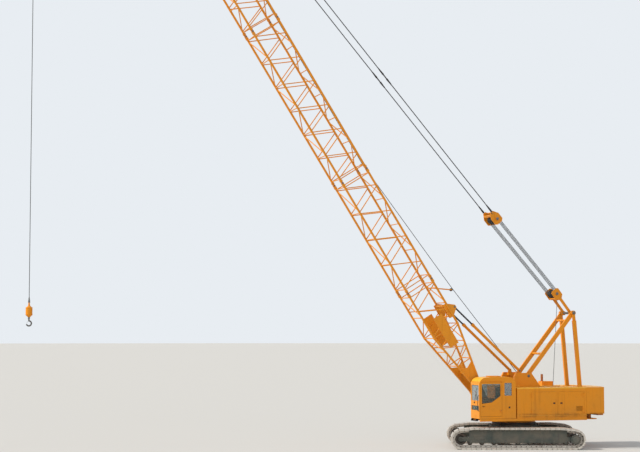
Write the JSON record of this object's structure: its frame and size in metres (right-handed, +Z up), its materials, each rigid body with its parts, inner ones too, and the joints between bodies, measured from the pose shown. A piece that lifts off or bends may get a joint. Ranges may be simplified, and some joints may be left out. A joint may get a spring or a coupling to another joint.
{
  "type": "crawler crane",
  "caption": "Lattice boom crawler crane on two tracks, with a slewing house, side cab, rear gantry, pendants, backstops and a hook on its hoist rope.",
  "frame": {"origin": "on the ground under the slewing axis", "axes": "+X forward along the boom as stored, +Y to the cab's side, +Z up"},
  "size_m": [23.9267, 5.7686, 31.3149],
  "materials": {
    "orange_paint": "weathered gloss",
    "dark_paint": "dusty",
    "worn_steel": "worn bare steel",
    "rope_steel": "greased wire",
    "black_steel": "oiled",
    "pin_steel": "machined",
    "cab_glass": "clear",
    "seat_cover": "worn"
  },
  "bodies": {
    "undercarriage": {"car_body": "dark_paint", "slew_ring_lower": "dark_paint", "side_frame_left": "dark_paint", "side_frame_right": "dark_paint", "track_left": "worn_steel", "track_right": "worn_steel", "idlers": "dark_paint", "sprockets": "dark_paint", "rollers": "dark_paint", "travel_motors": "dark_paint"},
    "upper": {"slew_ring_upper": "pin_steel", "upper_frame": "orange_paint", "boom_foot_pins": "pin_steel", "house_left": "orange_paint", "house_right": "orange_paint", "house_roof": "orange_paint", "engine_block": "dark_paint", "counterweight": "orange_paint", "winch_drums": "dark_paint", "cab_shell": "orange_paint", "cab_glass": "cab_glass", "cab_seat": "seat_cover", "gantry_cheeks": "orange_paint", "gantry_front_legs": "orange_paint", "gantry_rear_legs": "orange_paint", "gantry_head": "pin_steel", "luffing_spreader": "orange_paint"},
    "door_left_front": {"house_door_left_front": "orange_paint"},
    "door_left_rear": {"house_door_left_rear": "orange_paint"},
    "door_right_front": {"house_door_right_front": "orange_paint"},
    "door_right_rear": {"house_door_right_rear": "orange_paint"},
    "cab_door": {"cab_door": "orange_paint", "cab_door_glass": "cab_glass"},
    "boom": {"boom_base": "orange_paint", "boom_insert_1": "orange_paint", "boom_insert_2": "orange_paint", "boom_insert_3": "orange_paint", "boom_insert_4": "orange_paint", "boom_top": "orange_paint", "head_sheaves": "pin_steel", "pendants": "rope_steel", "bridle": "orange_paint"},
    "backstop_tubes": {"backstop_tubes": "orange_paint"},
    "backstop_rods": {"backstop_rods": "black_steel"},
    "hoist_rope": {"hoist_rope": "rope_steel"},
    "hook_weight": {"hook_weight": "pin_steel"},
    "hook": {"hook": "pin_steel"}
  },
  "joints": [
    {"name": "slew", "type": "hinge", "parent": "undercarriage", "child": "upper", "pos_m": [0, 0, 1.01], "axis": [0, 0, 1], "continuous": true},
    {"name": "boom_luff", "type": "hinge", "parent": "upper", "child": "boom", "pos_m": [1.31, 0, 1.75], "axis": [0, -1, 0], "range_deg": [-28, 20]},
    {"name": "backstop_swing", "type": "hinge", "parent": "upper", "child": "backstop_tubes", "pos_m": [-0.05, 0, 3.15], "axis": [0, -1, 0], "range_deg": [-28, 20]},
    {"name": "backstop_slide", "type": "slide", "parent": "backstop_tubes", "child": "backstop_rods", "axis": [-0.7366, 0, -0.6764], "range_m": [-1, 0.75]},
    {"name": "hook_plumb", "type": "hinge", "parent": "boom", "child": "hoist_rope", "pos_m": [19.77241, 0, 31.01298], "axis": [0, 1, 0], "range_deg": [-28, 20]},
    {"name": "hoist", "type": "slide", "parent": "hoist_rope", "child": "hook_weight", "axis": [0, 0, -1], "range_m": [-24, 4], "deforming": ["hoist_rope"]},
    {"name": "hook_swivel", "type": "hinge", "parent": "hook_weight", "child": "hook", "pos_m": [20.06671, 0.06, 5.32], "axis": [0, 0, 1], "continuous": true},
    {"name": "cab_door_hinge", "type": "hinge", "parent": "upper", "child": "cab_door", "pos_m": [1.19, 1.64, 1.9], "axis": [0, 0, 1], "range_deg": [0, 150]},
    {"name": "house_door_left_front_hinge", "type": "hinge", "parent": "upper", "child": "door_left_front", "pos_m": [-0.1, 1.632, 1.8], "axis": [0, 0, -1], "range_deg": [0, 100]},
    {"name": "house_door_left_rear_hinge", "type": "hinge", "parent": "upper", "child": "door_left_rear", "pos_m": [-2.46, 1.632, 1.8], "axis": [0, 0, 1], "range_deg": [0, 100]},
    {"name": "house_door_right_front_hinge", "type": "hinge", "parent": "upper", "child": "door_right_front", "pos_m": [-0.1, -1.632, 1.8], "axis": [0, 0, 1], "range_deg": [0, 100]},
    {"name": "house_door_right_rear_hinge", "type": "hinge", "parent": "upper", "child": "door_right_rear", "pos_m": [-2.46, -1.632, 1.8], "axis": [0, 0, -1], "range_deg": [0, 100]}
  ],
  "couplings": [
    {"joint": "backstop_swing", "follows": "boom_luff", "ratio": 0.95},
    {"joint": "backstop_slide", "follows": "boom_luff", "m_per_rad": 1.9},
    {"joint": "hook_plumb", "follows": "boom_luff", "ratio": 1}
  ]
}
